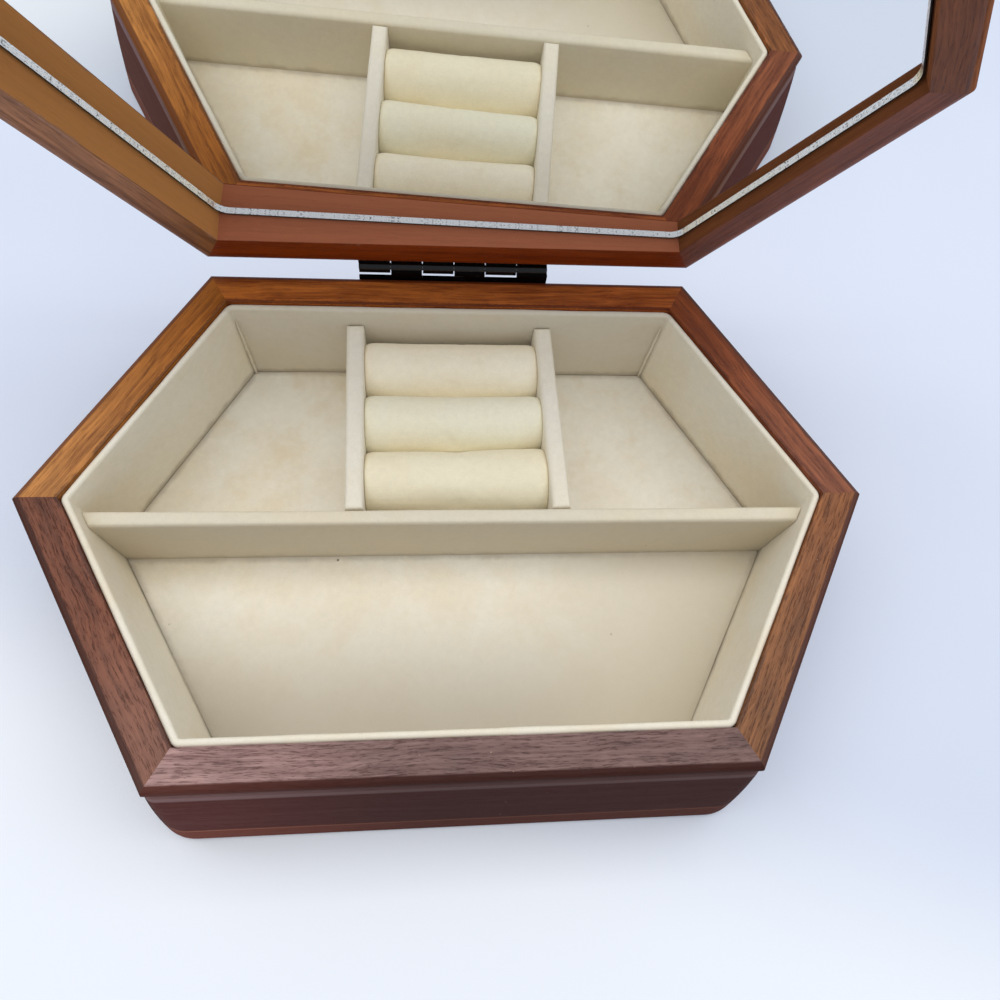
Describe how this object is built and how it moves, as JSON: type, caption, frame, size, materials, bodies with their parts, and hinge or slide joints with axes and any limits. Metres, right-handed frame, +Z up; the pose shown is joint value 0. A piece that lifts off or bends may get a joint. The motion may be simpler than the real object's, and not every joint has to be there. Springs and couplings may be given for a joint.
{
  "type": "vanity box",
  "caption": "Long hexagonal wooden vanity box with flared sides, a fabric-lined tray with dividers and ring rolls, and a hinged lid with a mirror inside it.",
  "frame": {"origin": "middle of the case's underside, on the table", "axes": "+X to the right along the hinge, +Y backwards from the front towards the hinge, +Z up"},
  "size_m": [0.2816, 0.1977, 0.2239],
  "materials": {
    "case_wood_warm": "warm orange-brown stain under satin lacquer, worn on the edges",
    "case_wood_red": "red-brown stain under satin lacquer",
    "case_wood_dark": "dark red-brown stain under satin lacquer with a cool sheen",
    "plywood": "bare plywood",
    "felt": "pressed felt",
    "lining": "cream flocked fabric on card",
    "roll_fabric": "cream fabric over foam",
    "card": "packing card and foam behind the mirror",
    "mirror": "silvered glass with a ground edge",
    "black_metal": "black lacquer, rubbed bright on the knuckles",
    "steel": "drawn wire"
  },
  "bodies": {
    "base": {"front_board": "case_wood_dark", "right_front_board": "case_wood_dark", "right_back_board": "case_wood_red", "back_board": "case_wood_warm", "left_back_board": "case_wood_warm", "left_front_board": "case_wood_dark", "bottom_panel": "plywood", "base_felt": "felt", "false_floor": "plywood", "floor_battens": "plywood", "liner_front": "lining", "liner_right_front": "lining", "liner_right_back": "lining", "liner_back": "lining", "liner_left_back": "lining", "liner_left_front": "lining", "liner_floor": "lining", "long_divider": "lining", "left_ring_divider": "lining", "right_ring_divider": "lining", "ring_roll_front": "roll_fabric", "ring_roll_middle": "roll_fabric", "ring_roll_back": "roll_fabric", "hinge_base_leaf": "black_metal", "hinge_pin": "steel", "base_leaf_screws": "black_metal"},
    "lid": {"lid_front_rail": "case_wood_red", "lid_right_front_rail": "case_wood_red", "lid_right_back_rail": "case_wood_red", "lid_back_rail": "case_wood_red", "lid_left_back_rail": "case_wood_warm", "lid_left_front_rail": "case_wood_warm", "lid_panel": "case_wood_warm", "mirror_glass": "mirror", "mirror_bed": "card", "hinge_lid_leaf": "black_metal", "lid_leaf_screws": "black_metal"}
  },
  "joints": [
    {"name": "lid_hinge", "type": "hinge", "parent": "base", "child": "lid", "pos_m": [0, 0.08517, 0.056], "axis": [1, 0, 0], "range_deg": [-13, 82]}
  ]
}
